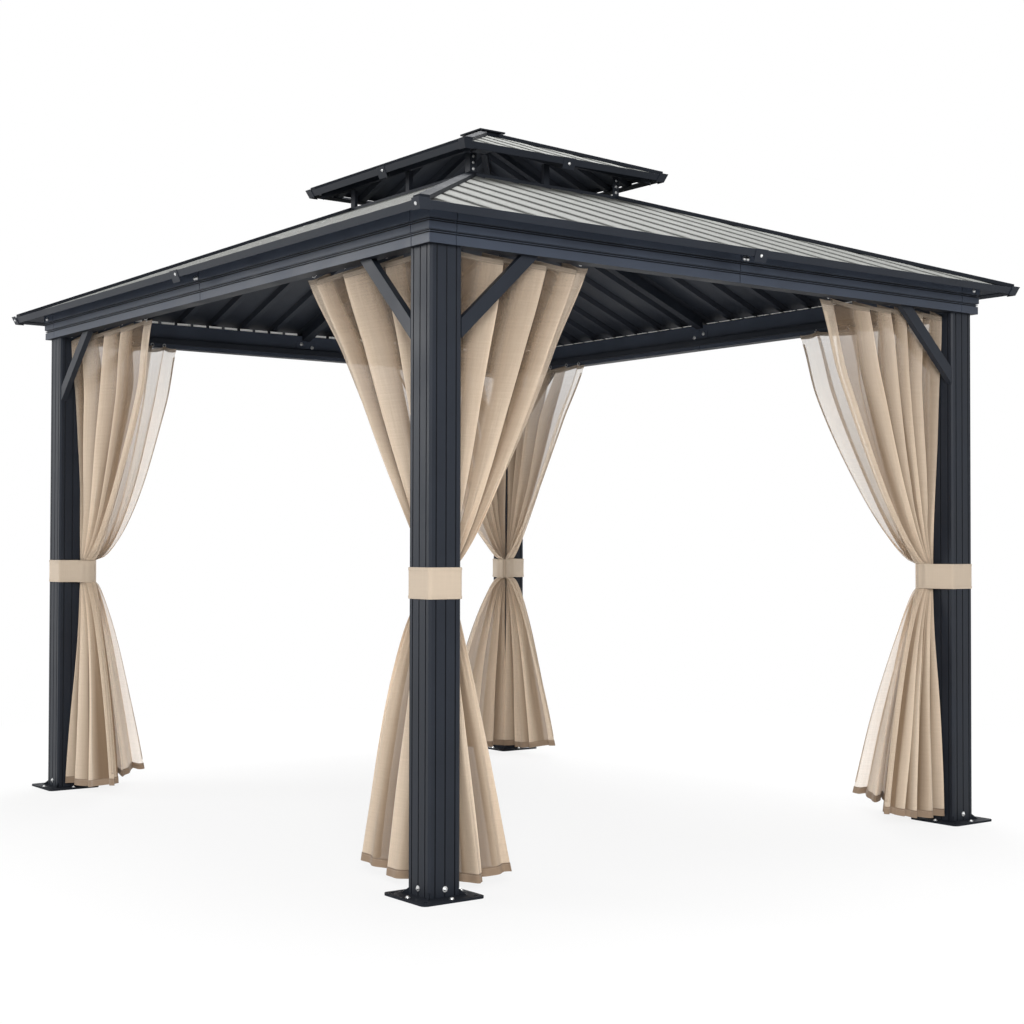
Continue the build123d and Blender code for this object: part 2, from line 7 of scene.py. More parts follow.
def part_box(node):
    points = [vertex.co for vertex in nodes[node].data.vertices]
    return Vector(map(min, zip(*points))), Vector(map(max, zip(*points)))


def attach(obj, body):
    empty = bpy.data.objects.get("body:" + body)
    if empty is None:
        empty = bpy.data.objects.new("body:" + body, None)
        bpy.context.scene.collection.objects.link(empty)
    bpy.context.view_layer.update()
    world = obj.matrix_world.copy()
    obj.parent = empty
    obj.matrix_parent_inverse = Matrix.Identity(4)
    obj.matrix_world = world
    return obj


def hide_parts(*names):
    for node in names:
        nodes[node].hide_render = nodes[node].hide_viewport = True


# Looks of the garden gazebo: painted frame, ribbed metal roof, sheer curtains and their fittings.
# All lengths are in metres, front is -Y and right is +X, as in the frame.
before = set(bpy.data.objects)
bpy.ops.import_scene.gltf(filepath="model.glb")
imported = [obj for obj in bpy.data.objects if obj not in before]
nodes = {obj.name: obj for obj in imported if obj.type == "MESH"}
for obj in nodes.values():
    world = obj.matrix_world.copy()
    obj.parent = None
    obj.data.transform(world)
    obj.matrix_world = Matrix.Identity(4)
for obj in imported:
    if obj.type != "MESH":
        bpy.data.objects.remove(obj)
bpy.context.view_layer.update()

# Places read from the frame
corners = {"front_left": (-1, -1), "front_right": (1, -1), "back_left": (-1, 1), "back_right": (1, 1)}
side_axis = {"front": 0, "back": 0, "left": 1, "right": 1}
side_outward = {"front": (0, -1), "back": (0, 1), "left": (-1, 0), "right": (1, 0)}
post_low, post_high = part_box("post_front_right")
post_size = post_high.x - post_low.x
post_outer = (post_high.x, -post_low.y)
post_inner = (post_low.x, -post_high.y)
rail_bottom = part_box("curtain_rails")[0].z
tie_low, tie_high = (corner.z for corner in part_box("curtain_ties"))
plate_top = post_low.z


def smooth(low, high, value):
    """Eased step from 0 at low to 1 at high."""
    share = np.clip((value - low) / (high - low), 0, 1)
    return share * share * (3 - 2 * share)


def between(first, second, share):
    """Value that goes from the first to the second as the share goes from 0 to 1."""
    return first * (1 - share) + second * share


def shade(colour, share):
    return tuple(channel * share for channel in colour)


# Node trees

class NodeTree:
    """A tree of nodes being made, where an input takes a plain value or another node's socket."""

    prefix = "ShaderNode"

    def __init__(self, tree):
        self.tree = tree
        tree.nodes.clear()

    def set(self, socket, value):
        if isinstance(value, bpy.types.NodeSocket):
            self.tree.links.new(value, socket)
        else:
            socket.default_value = value

    def node(self, kind, *ordered, output=0, **named):
        """Adds a node and gives one of its outputs, if it has any.

        Values without a name fill its inputs in order. A name in small letters is a setting of the
        node, and any other name is an input."""
        made = self.tree.nodes.new(kind if "Node" in kind else self.prefix + kind)
        for name, value in named.items():
            if name.islower():
                setattr(made, name, value)
            else:
                self.set(made.inputs[name.replace("_", " ")], value)
        for socket, value in zip(made.inputs, ordered):
            self.set(socket, value)
        return made.outputs[output] if made.outputs else None

    def math(self, operation, *terms):
        return self.node("ShaderNodeMath", *terms, operation=operation)

    def seen(self):
        """1 for rays that show in the picture, straight, off gloss or through glass, and 0 for light."""
        rays = self.node("LightPath").node.outputs
        indirect = self.math("MAXIMUM", rays["Is Glossy Ray"], rays["Is Transmission Ray"])
        return self.math("MAXIMUM", rays["Is Camera Ray"], indirect)


class Finish(NodeTree):
    """A material being made."""

    def __init__(self, name):
        self.material = bpy.data.materials.new(name)
        self.material.use_nodes = True
        super().__init__(self.material.node_tree)

    def spread(self, value, low, high, start=0.3, end=0.7):
        """Number that runs from low to high as a value, such as noise, goes from start to end."""
        return self.node("MapRange", value, start, end, low, high)

    def ramp(self, value, dark, light, start=0.3, end=0.7):
        """Colour that runs from dark to light as a value goes from start to end."""
        colours = self.node("ValToRGB", value)
        elements = colours.node.color_ramp.elements
        for element, place, colour in zip(elements, (start, end), (dark, light)):
            element.position = place
            element.color = (*colour, 1)
        return colours

    def tinted(self, share, first, second):
        """Colour that turns to a plain second colour as the share goes from 0 to 1."""
        return self.node("MixRGB", share, first, (*second, 1))

    def noise(self, place, scale, detail=3.0):
        return self.node("TexNoise", Vector=place, Scale=scale, Detail=detail)

    def object_place(self, stretch=(1, 1, 1)):
        return self.node("Mapping", Vector=self.node("TexCoord", output="Object"), Scale=stretch)

    def bump(self, height, strength, distance, **inputs):
        return self.node("Bump", Height=height, Strength=strength, Distance=distance, **inputs)

    def show(self, shader):
        self.node("OutputMaterial", Surface=shader)
        return self.material

    def surface(self, **inputs):
        return self.show(self.node("BsdfPrincipled", **inputs))


# Paint and metal

charcoal = (0.0145, 0.0178, 0.025)
zinc = (0.2, 0.204, 0.193)
rib_pitches = {"lower": 0.175, "upper": 0.130}
flake_weight = 0.25


def powder_coat(name, tone_share, low_rough, high_rough, worn, gloss):
    """Baked powder paint: a fine pebbled skin, slow changes of tone, rubbed edges, and painted shade that
    darkens its grooves and inner corners.
    """
    finish = Finish(name)
    colour = shade(charcoal, tone_share)
    place = finish.object_place()
    cloud = finish.noise(place, scale=5.0, detail=5.0)
    pebble = finish.noise(place, scale=900.0, detail=2.0)
    edge_round = finish.node("Bevel", samples=4, Radius=0.0016)
    facing = finish.node("VectorMath", edge_round, finish.node("NewGeometry", output="Normal"),
                         output="Value", operation="DOT_PRODUCT")
    edge = finish.spread(facing, low=1.0, high=0.0, start=0.8, end=0.99)
    patches = finish.spread(finish.noise(place, scale=60.0), low=0.0, high=worn)
    body = finish.ramp(cloud, dark=shade(colour, share=0.88), light=shade(colour, share=1.1))
    coat = finish.tinted(finish.math("MULTIPLY", edge, patches), body, shade(colour, share=3.0))
    # Painted shade: where ambient occlusion finds a groove or inner corner, the colour turns nearly black.
    crevice = finish.node("AmbientOcclusion", output="AO", samples=8, only_local=True, Distance=0.01)
    groove_shade_painted = finish.spread(crevice, low=0.95, high=0.0, start=0.3, end=0.85)
    return finish.surface(
        Base_Color=finish.tinted(groove_shade_painted, coat, shade(colour, share=0.15)),
        Normal=finish.bump(pebble, strength=0.14, distance=0.0003, Normal=edge_round),
        Roughness=finish.spread(cloud, low_rough, high_rough), Specular_IOR_Level=gloss)


def galvanised_sheet(name, axis, pitch):
    """Zinc-coated roof sheet: crystal spangle, rain streaks down the slope, and painted shade towards the
    valleys between the ribs.
    """
    finish = Finish(name)
    place = finish.object_place()
    along = finish.node("SeparateXYZ", place, output=axis)
    turn = finish.math("FRACT", finish.math("DIVIDE", along, pitch))
    from_rib = finish.math("ABSOLUTE", finish.math("SUBTRACT", turn, 0.5))
    spangle = finish.node("TexVoronoi", output="Color", Vector=place, Scale=75.0)
    flake = finish.node("SeparateColor", spangle, output="Red")
    streak = finish.noise(finish.object_place(stretch=(1, 1, 0.15)), scale=14.0, detail=5.0)
    tone = finish.math("ADD", finish.math("MULTIPLY", flake, flake_weight),
                       finish.math("MULTIPLY", streak, 1 - flake_weight))
    clean = finish.ramp(tone, dark=shade(zinc, share=0.84), light=zinc, start=0.25)
    # Painted shade: the zinc darkens towards the valleys between the ribs.
    valley_shade_painted = finish.spread(from_rib, low=0.0, high=0.85, start=0.16, end=0.39)
    return finish.surface(
        Base_Color=finish.tinted(valley_shade_painted, clean, shade(zinc, share=0.4)),
        Normal=finish.bump(streak, strength=0.05, distance=0.0005),
        Roughness=finish.spread(flake, low=0.6, high=0.75, start=0.0, end=1.0),
        Metallic=0.15, Specular_IOR_Level=0.1)


def zinc_plate(name):
    """Bright zinc on small steel fittings, with a brushed grain."""
    finish = Finish(name)
    grain = finish.noise(finish.object_place(), scale=800.0, detail=2.0)
    return finish.surface(Base_Color=finish.ramp(grain, dark=(0.66, 0.67, 0.68), light=(0.82, 0.82, 0.81)),
                          Roughness=finish.spread(grain, low=0.22, high=0.38), Metallic=1.0)


def pale_packing(name):
    """Pale foam packing under the roof sheets, with a fine open grain."""
    finish = Finish(name)
    grain = finish.noise(finish.object_place(), scale=500.0)
    return finish.surface(Base_Color=finish.ramp(grain, dark=(0.80, 0.80, 0.78), light=(0.92, 0.92, 0.90)),
                          Normal=finish.bump(grain, strength=0.3, distance=0.0005), Roughness=0.9)


# Share of the charcoal tone, lowest and highest roughness, wear along edges, and gloss
post_paint = powder_coat("charcoal_powder_coat", 1.0, 0.4, 0.52, 0.6, 0.18)
# The beams have the posts' charcoal coat, made 2.75 times lighter here: painted light on the beams.
beam_coat_painted_light = powder_coat("charcoal_beam_paint", 2.75, 0.34, 0.46, 0.6, 0.18)
under_roof_paint = powder_coat("under_roof_paint", 1.0, 0.5, 0.65, 0.1, 0.16)
# Duller copy at 0.7 of the charcoal tone: painted shade on faces that look down, base plates, hip covers and
# caps.
dull_coat_painted_shade = powder_coat("dull_charcoal_paint", 0.7, 0.6, 0.75, 0.1, 0.12)
roof_zinc = {}
for tier, pitch in rib_pitches.items():
    for axis in ("X", "Y"):
        roof_zinc[tier, axis] = galvanised_sheet(f"galvanised_{tier}_roof_{axis.lower()}", axis, pitch)
bright_zinc = zinc_plate("bright_zinc")
pale_strip = pale_packing("pale_packing")

frame_paints = (("beam_", beam_coat_painted_light), ("base_plate", dull_coat_painted_shade), ("hip_cover", dull_coat_painted_shade),
                ("upper_hip", dull_coat_painted_shade), ("top_cap", dull_coat_painted_shade), ("", post_paint))
crest_level = 0.85
underside_level = -0.9


def paint_roof(node, tier):
    """Roof sheets zinc above, with the painted valley shade that follows each side's ribs, and charcoal
    below.
    """
    for finish in (roof_zinc[tier, "X"], roof_zinc[tier, "Y"], under_roof_paint):
        node.data.materials.append(finish)
    faces = node.data.polygons
    crests = [face for face in faces if face.normal.z > crest_level]
    for face in faces:
        if face.normal.z <= 0:
            face.material_index = 2
        else:
            nearest = min(crests, key=lambda crest: (crest.center - face.center).length)
            face.material_index = 0 if abs(nearest.normal.y) > abs(nearest.normal.x) else 1


def paint_frame():
    """Every frame part in charcoal, the beams lighter with painted light, the plates, hip covers, caps and
    faces underneath duller and darker with painted shade, and roof sheets zinc above and charcoal below.
    """
    for name, node in nodes.items():
        node.data.materials.clear()
        if name.startswith("roof_panel"):
            paint_roof(node, "lower")
        elif name == "upper_roof_panels":
            paint_roof(node, "upper")
        else:
            paint = next(paint for start, paint in frame_paints if name.startswith(start))
            node.data.materials.append(paint)
            node.data.materials.append(dull_coat_painted_shade)
            for face in node.data.polygons:
                # Faces that look down take the duller paint, darker with painted shade.
                face.material_index = int(face.normal.z < underside_level)


paint_frame()


# Cloth

beige = (0.82, 0.67, 0.515)
tan = (0.33, 0.235, 0.16)
metre_wave_scale = math.pi / 10
slub_stretches = ((6, 180, 1), (180, 6, 1))
slub_range = (0.35, 0.65)
slub_cover = 0.03
weave_middle = 0.75
weave_cover = 0.2
crease_highlight_strength = 0.6
crease_cover = 0.15
bunched_cover = 0.96
# Painted shade in the tucks of the pleats: the cloth's colour scaled by these shares, channel by channel.
fold_shade_shares = (0.27, 0.22, 0.17)


def cloth(name, colour, cover, through, thread):
    """Plain woven cloth on its own flat map: crossing threads, slubs, and a share of light through it.

    cover is how much of the cloth is thread: the rest is open between the threads. A pressed crease is
    denser, and paler with a painted highlight; cloth tucked into a pleat is darker with painted shade;
    and cloth bunched in many small layers is nearly closed."""
    finish = Finish(name)
    flat = finish.node("UVMap", uv_map="cloth")
    weave = finish.math("MAXIMUM", *(finish.node(
        "TexWave", output="Fac", bands_direction=direction, Vector=flat,
        Scale=metre_wave_scale / thread, Distortion=0.6) for direction in ("X", "Y")))
    slubs = finish.math("ADD", *(finish.noise(finish.node("Mapping", Vector=flat, Scale=stretch), scale=1.0)
                                 for stretch in slub_stretches))
    slub = finish.math("MULTIPLY", slubs, 0.5)
    crease_and_highlight, painted_fold_shade, bunched = (finish.node("Attribute", output="Fac", attribute_name=mark)
                               for mark in ("crease_and_highlight", "painted_fold_shade", "bunched"))
    tone = finish.ramp(slub, shade(colour, share=0.95), colour, *slub_range)
    # Painted shade: cloth in a pleat's tuck is darkened.
    fold_shaded_tone = finish.tinted(painted_fold_shade, tone, [channel * share for channel, share in zip(colour, fold_shade_shares)])
    crease_highlight = finish.math("MULTIPLY", crease_and_highlight, crease_highlight_strength)
    # Painted highlight: the crease is paler than the cloth; its extra cover below is the real double cloth.
    body = finish.tinted(crease_highlight, fold_shaded_tone, shade(colour, share=1.2))
    bump = finish.bump(weave, strength=0.12, distance=0.0004)
    front = finish.node("BsdfPrincipled", Base_Color=body, Normal=bump, Roughness=0.85, Sheen_Weight=0.15)
    behind = finish.node("BsdfTranslucent", Color=body, Normal=bump)
    lit = finish.node("MixShader", through, front, behind)
    if cover >= 1:
        return finish.show(lit)
    closed = finish.spread(slub, cover - slub_cover, cover + slub_cover, *slub_range)
    thread_line = finish.math("SUBTRACT", weave, weave_middle)
    for mark, added in ((thread_line, weave_cover), (crease_and_highlight, crease_cover), (bunched, bunched_cover - cover)):
        closed = finish.math("ADD", closed, finish.math("MULTIPLY", mark, added))
    return finish.show(finish.node("MixShader", closed, finish.node("BsdfTransparent"), lit))


# Colour, cover, share of light through the cloth, and distance from thread to thread
sheer_beige = cloth("sheer_beige_voile", beige, 0.46, 0.16, 0.0016)
hem_tan = cloth("hem_tan", tan, 1.0, 0.15, 0.0016)
edge_beige = cloth("edge_fold_beige", shade(beige, 0.72), 0.78, 0.16, 0.0016)
# The heading tape at 0.4 of the beige: painted shade, as it hangs in the shadow under the beam.
shaded_heading_beige = cloth("heading_tape_beige", shade(beige, 0.4), 0.68, 0.16, 0.0016)
tie_beige = cloth("tie_band_beige", shade(beige, 0.66), 1.0, 0.1, 0.0022)
thread_beige = cloth("sewing_thread", shade(beige, 0.6), 1.0, 0.1, 0.0006)


# Meshes

def link_mesh(name, mesh, *materials):
    """A piece of the gazebo, in place in the frame."""
    piece = bpy.data.objects.new(name, mesh)
    bpy.context.scene.collection.objects.link(piece)
    for material in materials:
        mesh.materials.append(material)
    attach(piece, "root")
    return piece


def grid_faces(rows, columns, closed=False):
    index = np.arange(rows * columns).reshape(rows, columns)
    if closed:
        index = np.hstack([index, index[:, :1]])
    faces = np.stack([index[:-1, :-1], index[:-1, 1:], index[1:, 1:], index[1:, :-1]], axis=-1)
    return faces.reshape(-1, 4).tolist()


def cloth_mesh(name, points, faces, flat, marks=None):
    """Mesh with smooth faces, each point's place on the flat cloth as its map, and marks on its points."""
    mesh = bpy.data.meshes.new(name)
    mesh.from_pydata(points.reshape(-1, 3).tolist(), [], faces)
    layer = mesh.uv_layers.new(name="cloth")
    loops = np.zeros(len(mesh.loops), dtype=np.int32)
    mesh.loops.foreach_get("vertex_index", loops)
    layer.data.foreach_set("uv", flat.reshape(-1, 2)[loops].ravel().astype(np.float32))
    mesh.polygons.foreach_set("use_smooth", np.ones(len(mesh.polygons), dtype=bool))
    for mark, values in (marks or {}).items():
        attribute = mesh.attributes.new(mark, "FLOAT", "POINT")
        all_values = np.broadcast_to(values, points.shape[:2])
        attribute.data.foreach_set("value", all_values.ravel().astype(np.float32))
    mesh.update()
    return mesh


def grid_normals(points):
    down = np.gradient(points, axis=0)
    over = np.gradient(points, axis=1)
    normals = np.cross(over, down)
    return normals / np.maximum(np.linalg.norm(normals, axis=2, keepdims=True), 1e-9)


def folded_strip(points, flat, thickness):
    """Closed strip of folded cloth about a grid of points: both faces and a rim all round."""
    rows, columns = points.shape[:2]
    offset = grid_normals(points) * thickness / 2
    count = rows * columns
    upper = grid_faces(rows, columns)
    lower = [[count + corner for corner in reversed(face)] for face in upper]
    index = np.arange(count).reshape(rows, columns)
    rim = np.concatenate([index[:, 0], index[-1, 1:], index[-2::-1, -1], index[0, -2:0:-1]]).tolist()
    sides = [(here, count + here, count + after, after) for here, after in zip(rim, rim[1:] + rim[:1])]
    both = np.concatenate([points + offset, points - offset])
    return both, upper + lower + sides, np.concatenate([flat, flat])


# Curtains

# Where the cloth hangs, from the post's inner faces and from the rail, tie and ground
curtain_clear = 0.012
curtain_line = 0.092
curtain_depth = 0.100
foot_depth = 0.108
bundle_clear = 0.002
bundle_reach = 0.046
bundle_setback = 0.024
rail_line = 0.055
rail_hang = 0.008
heading_top = rail_bottom - 0.006
heading_sag = 0.03
foot_height = 0.026
foot_lift = 0.027
lift_start = 0.35
fold_lift = 0.006
hang_drops = (-0.02, 0.3)
rail_fullness = 0.42
hung_fullness = 0.52

# Cut of the cloth, its hems and its edges
panel_width = 1.0
hem_height = 0.030
hem_thickness = 0.0026
heading_height = 0.018
heading_thickness = 0.8 * hem_thickness
edge_fold = 0.012
edge_thickness = 0.6 * hem_thickness
stitch_lift = 0.55 * hem_thickness

# Pleats: width of the panel as a share of the pleat, lap over the next pleat, and softness of its folds
head_pleat = (0.66, 0.22, 0.11)
foot_pleat = (0.6, 0.14, 0.2)
pleat_samples = 480
pleat_unevenness = 0.22
pleat_fullness = (0.7, 1.0)
pleat_overrun = 1.02
last_pleat_end = 0.001
crease_spread = 0.018
# Painted shade in each pleat's tuck: the share of the panel that is shaded, and how the shade fades
shaded_share = 0.46
tuck_shade_fade = 1.6
return_fade = 0.3
strip_start = 0.93
strip_place = 0.87
strip_turn = 0.4
strip_depth = 0.25
strip_blend = 0.01

# Small folds where the tie gathers the cloth, its soft ripples and sway, and how closed its folds are
gather_reach = 0.16
gathers = 19
gather_depth = 0.75
gather_edge = 0.03
gathered_flat = 0.6
# Share of the painted tuck shade that is lost where the tie gathers the cloth
gathered_shade_loss = 0.7
soft_ripples = ((7.3, 2.0, 0.006), (11.7, -3.0, 0.004), (3.1, 4.0, 0.006))
sway_size = 0.02
sway_turns = 3.0 * math.pi
sway_drift = 5
neck_blend = (0.1, 0.9)
head_bunched = 0.85
skirt_bunched = 0.9
strip_unbunched = 0.85
skirt_crease_loss = 0.7

# Foot width as a share of the clear span, bows of the free edge above and below the tie, pleats
# above and below it, whether the pleats' front edges lie towards the free edge or the post, and how
# much of the full painted shade their tucks have
drapes = {
    ("front", "front_left"): (0.102, 0.75, 0.85, 3, 2, 1, 1.0),
    ("front", "front_right"): (0.128, 0.8, 0.75, 5, 4, -1, 1.0),
    ("left", "front_left"): (0.14, 0.9, 0.43, 3, 2, 1, 1.0),
    ("left", "back_left"): (0.143, 0.75, 0.7, 4, 3, -1, 1.0),
    ("right", "front_right"): (0.146, 0.66, 0.75, 4, 3, -1, 0.45),
    ("right", "back_right"): (0.13, 0.8, 0.6, 4, 3, -1, 0.8),
    ("back", "back_left"): (0.125, 0.55, 0.7, 4, 3, -1, 0.4),
    ("back", "back_right"): (0.16, 0.75, 0.6, 4, 3, -1, 0.8),
}
inside_seen = ("back", "right")
curtain_seed = 11
columns_per_fold = 48
heading_rows = 5
head_rows = 62
head_crowding = 0.9
neck_rows = 12
skirt_rows = 48
skirt_crowding = 1.1
hem_rows = 6


def cloth_rows():
    """Opening of the cloth and share of the way past the tie, for each row from the rail to the hem."""
    tape = 1 - np.linspace(0, heading_height, heading_rows) / (rail_bottom - tie_high)
    head = tape[-1] * (1 - np.linspace(0, 1, head_rows + 1)[1:] ** head_crowding)
    neck = np.linspace(0, 1, neck_rows + 1)[1:]
    hem = 1 - np.linspace(hem_height, 0, hem_rows) / (tie_low - foot_height)
    skirt = hem[0] * np.linspace(0, 1, skirt_rows + 1)[1:-1] ** skirt_crowding
    opening = np.concatenate([tape, head, np.zeros(neck_rows), skirt, hem])
    below = np.concatenate([np.zeros(heading_rows + head_rows), neck, np.ones(skirt_rows - 1 + hem_rows)])
    return opening[:, None], below[:, None]


def one_pleat(panel_share, lap, softness):
    """One pleat along the cloth: its shift across the drawn width, depth from -1 to 1, the crease that takes
    a painted highlight, and painted shade in its tuck.

    A broad panel slants from a tucked edge at the back to a creased edge in front, and the cloth
    returns behind it."""
    turn = np.arange(pleat_samples) / pleat_samples
    front = np.clip(turn / panel_share, 0, 1)
    back = np.clip((turn - panel_share) / (1 - panel_share), 0, 1)
    shift = -lap + (1 + 2 * lap) * front - 2 * lap * back - turn
    depth = -1 + 2 * np.sin(math.pi / 2 * front) - 2 * back
    soften = np.exp(-0.5 * (softness * np.arange(pleat_samples // 2 + 1)) ** 2)
    shift, depth = (np.fft.irfft(np.fft.rfft(values) * soften, pleat_samples) for values in (shift, depth))
    # The crease at the panel's front edge: denser double cloth, with a painted highlight.
    crease_and_highlight = np.exp(-((turn - panel_share) / crease_spread) ** 2)
    shown = np.clip((front - shaded_share) / (1 - shaded_share), 0, 1)
    # Painted shade in the tuck, fading out as the panel comes forward and over the return behind it
    tuck_shade = np.where(turn < panel_share, (1 - shown) ** tuck_shade_fade, smooth(0.0, return_fade, back))
    return turn, shift, depth, crease_and_highlight, tuck_shade


def uneven(place, turns):
    """Pleats of uneven width: a smooth, rising map of the drawn width onto itself."""
    for k, turn in enumerate(turns, 1):
        wave = np.sin(k * math.pi * place) * math.sin(turn)
        place = place + pleat_unevenness / (k * math.pi) * wave
    return place


class Drape:
    """One curtain: pleats from the rail to the tie, and again from the tie to the hem."""

    def __init__(self, side, corner, seed):
        self.name = f"curtain_{side}_{corner}"
        foot_share, *self.bows, head_folds, foot_folds, self.lean, self.fold_shade_share = drapes[side, corner]
        self.folds = (head_folds, foot_folds)
        axis = side_axis[side]
        signs = corners[corner]
        self.origin = np.array([signs[0] * post_inner[0], signs[1] * post_inner[1], 0.0])
        self.along = np.zeros(3)
        self.along[axis] = -signs[axis]
        self.inward = np.zeros(3)
        self.inward[1 - axis] = -signs[1 - axis]
        self.shown = 1 if side in inside_seen else -1
        self.head_width = max(abs(edge[axis] - self.origin[axis]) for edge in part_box(self.name))
        self.foot_width = curtain_clear + 2 * post_inner[axis] * foot_share
        self.length = rail_bottom - foot_height
        self.chance = np.random.default_rng(seed)
        turns = self.chance.uniform(0, 2 * math.pi, 16)
        self.pleat_turns = (turns[1:4], turns[5:8])
        self.ripple_turns = turns[8:11]
        self.sway_turn, self.gather_turn = turns[12], turns[14]

    def pleats(self, across, folds, turns, look):
        """Place across the drawn width, depth, crease highlight and painted tuck shade along the cloth.

        The free edge beyond the last pleat is a plain strip."""
        turn, *pleat = one_pleat(*look)
        if self.lean < 0:
            pleat = [values[::-1] for values in pleat]
            pleat[0] = -pleat[0]
        phase = folds * np.clip(across / strip_start, 0, 1)
        beyond = np.clip((across - strip_start) / (1 - strip_start), 0, 1)
        shift, depth, crease_and_highlight, tuck_shade = (np.interp(phase, turn, values, period=1) for values in pleat)
        drawn = np.where(beyond > 0, 1.0, np.clip((phase + shift) / folds, 0, pleat_overrun))
        place = strip_place * uneven(drawn, turns) + (1 - strip_place) * beyond
        number = np.floor(np.clip(phase, 0, folds - last_pleat_end)).astype(int)
        fullness = self.chance.uniform(*pleat_fullness, folds)
        following = np.minimum(number + 1, folds - 1)
        full = between(fullness[number], fullness[following], smooth(0.0, 1.0, phase - number))
        depth = depth * full * (1 - smooth(0.0, strip_turn, beyond)) + strip_depth * np.sin(math.pi * beyond)
        on_pleat = beyond <= 0
        return place, depth, crease_and_highlight * on_pleat, tuck_shade * on_pleat

    def ripples(self, across, opening):
        """Soft undulations of the cloth within its pleats, which drift as they fall."""
        total = 0
        for turn, (count, drift, size) in zip(self.ripple_turns, soft_ripples):
            total = total + size * np.sin(2 * math.pi * count * across + drift * opening + turn)
        return total * np.sqrt(opening)

    def from_post(self, across, opening, is_low, place):
        """Way of each point along the rail, from the post's inner face."""
        width = between(self.head_width, self.foot_width, is_low)
        bow = between(*self.bows, is_low)
        near = bundle_clear + (curtain_clear - bundle_clear) * opening
        far = bundle_reach + (width - bundle_reach) * opening ** bow
        sway = sway_size * np.sin(sway_turns * opening + sway_drift * across + self.sway_turn)
        return near + (far - near) * (np.clip(place, 0, 1) + sway * opening * (1 - opening))

    def from_frame(self, across, opening, is_low, place, depth):
        """Way of each point inwards from the post's inner face, with the depth of its pleats."""
        half_depth = between(curtain_depth, foot_depth, is_low) / 2
        middle = curtain_line - post_size
        outer = -bundle_setback + (middle - half_depth + bundle_setback) * opening
        inner_near = (middle + half_depth) * opening
        inner_far = bundle_reach + (middle + half_depth - bundle_reach) * opening
        inner = inner_near + (inner_far - inner_near) * place
        drop = (1 - opening) * (heading_top - tie_high)
        hang = np.where(is_low > 0, 1.0, smooth(*hang_drops, drop))
        full = rail_fullness + hung_fullness * hang
        centre = (outer + inner) / 2
        rail_centre = rail_line - post_size + rail_hang
        centre = np.where(is_low > 0, centre, rail_centre + (centre - rail_centre) * hang)
        return centre + (inner - outer) / 2 * full * depth + self.ripples(across, opening) * hang

    def grid(self):
        """Points of the hanging cloth, their places on the flat cloth, and marks for its look: painted crease
        highlights, painted shade in the tucks, and how bunched the cloth is.
        """
        opening, below = cloth_rows()
        across = np.linspace(0, 1, columns_per_fold * max(self.folds) + 1)[None, :]
        is_low = (below >= 1).astype(float)
        mix = smooth(*neck_blend, below)
        looks = zip(self.folds, self.pleat_turns, (head_pleat, foot_pleat))
        high, low = [self.pleats(across[0], *look) for look in looks]
        place, depth, crease_and_highlight, tuck_shade = (between(above, beneath, mix) for above, beneath in zip(high, low))
        gathered = np.exp(-opening / gather_reach)
        fine = np.sin(2 * math.pi * gathers * across + self.gather_turn)
        held = smooth(0, gather_edge, across) * smooth(0, gather_edge, 1 - across)
        depth = self.shown * depth * (1 - gathered_flat * gathered) + gather_depth * gathered * fine * held

        high_depth, low_depth = high[1], low[1]
        foot = foot_height + foot_lift * smooth(lift_start, 1.0, place) + fold_lift * (1 - low_depth)
        sag = heading_sag * (1 + high_depth) / 2
        z_head = tie_high + (heading_top - sag - tie_high) * opening
        z_foot = tie_low - (tie_low - foot) * opening
        z_neck = tie_high + (tie_low - tie_high) * below
        z = np.where(is_low > 0, z_foot, np.where(below > 0, z_neck, z_head))
        along = self.from_post(across, opening, is_low, place)
        inward = self.from_frame(across, opening, is_low, place, depth)
        points = self.origin + along[..., None] * self.along + inward[..., None] * self.inward
        points[..., 2] = z

        flat = np.stack(np.broadcast_arrays(across * panel_width, z), axis=-1)
        single = smooth(strip_start - strip_blend, strip_start + strip_blend, across)
        bunched = between(head_bunched * (1 - opening), skirt_bunched, mix) * (1 - strip_unbunched * single)
        marks = {"crease_and_highlight": crease_and_highlight * (1 - gathered) * (1 - skirt_crease_loss * mix),
                 "painted_fold_shade": self.fold_shade_share * tuck_shade * (1 - gathered_shade_loss * gathered), "bunched": bunched}
        return points, flat, marks

    def hooks(self, points):
        """Top of each pleat that is nearest the rail, where a hook takes the cloth."""
        inward = (points[0] - self.origin) @ self.inward
        before, here, after = inward[:-2], inward[1:-1], inward[2:]
        return points[0, 1:-1][(here <= before) & (here < after)]


hook_places = []
hem_lines = []


def hang_curtain(side, corner, seed):
    """One curtain's cloth, with its hem, heading tape and free edge as strips of folded cloth."""
    drape = Drape(side, corner, seed)
    points, flat, marks = drape.grid()
    mesh = cloth_mesh(drape.name + "_cloth", points, grid_faces(*points.shape[:2]), flat, marks)
    piece = link_mesh(drape.name + "_cloth", mesh, sheer_beige)
    edge_columns = max(2, round(edge_fold / panel_width * points.shape[1]) + 1)
    parts = {"hem": (np.s_[-hem_rows:], hem_tan, hem_thickness),
             "heading": (np.s_[:heading_rows], shaded_heading_beige, heading_thickness),
             "free_edge": (np.s_[heading_rows:-hem_rows, -edge_columns:], edge_beige, edge_thickness)}
    for label, (part, material, thickness) in parts.items():
        both, faces, maps = folded_strip(points[part], flat[part], thickness)
        strip_mesh = cloth_mesh(f"{drape.name}_{label}", both, faces, maps)
        strip_piece = link_mesh(f"{drape.name}_{label}", strip_mesh, material)
    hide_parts(drape.name)
    hook_places.extend(drape.hooks(points))
    outward = grid_normals(points) * stitch_lift
    for row in (heading_rows - 2, len(points) - hem_rows + 1):
        hem_lines.extend([points[row] + outward[row], points[row] - outward[row]])


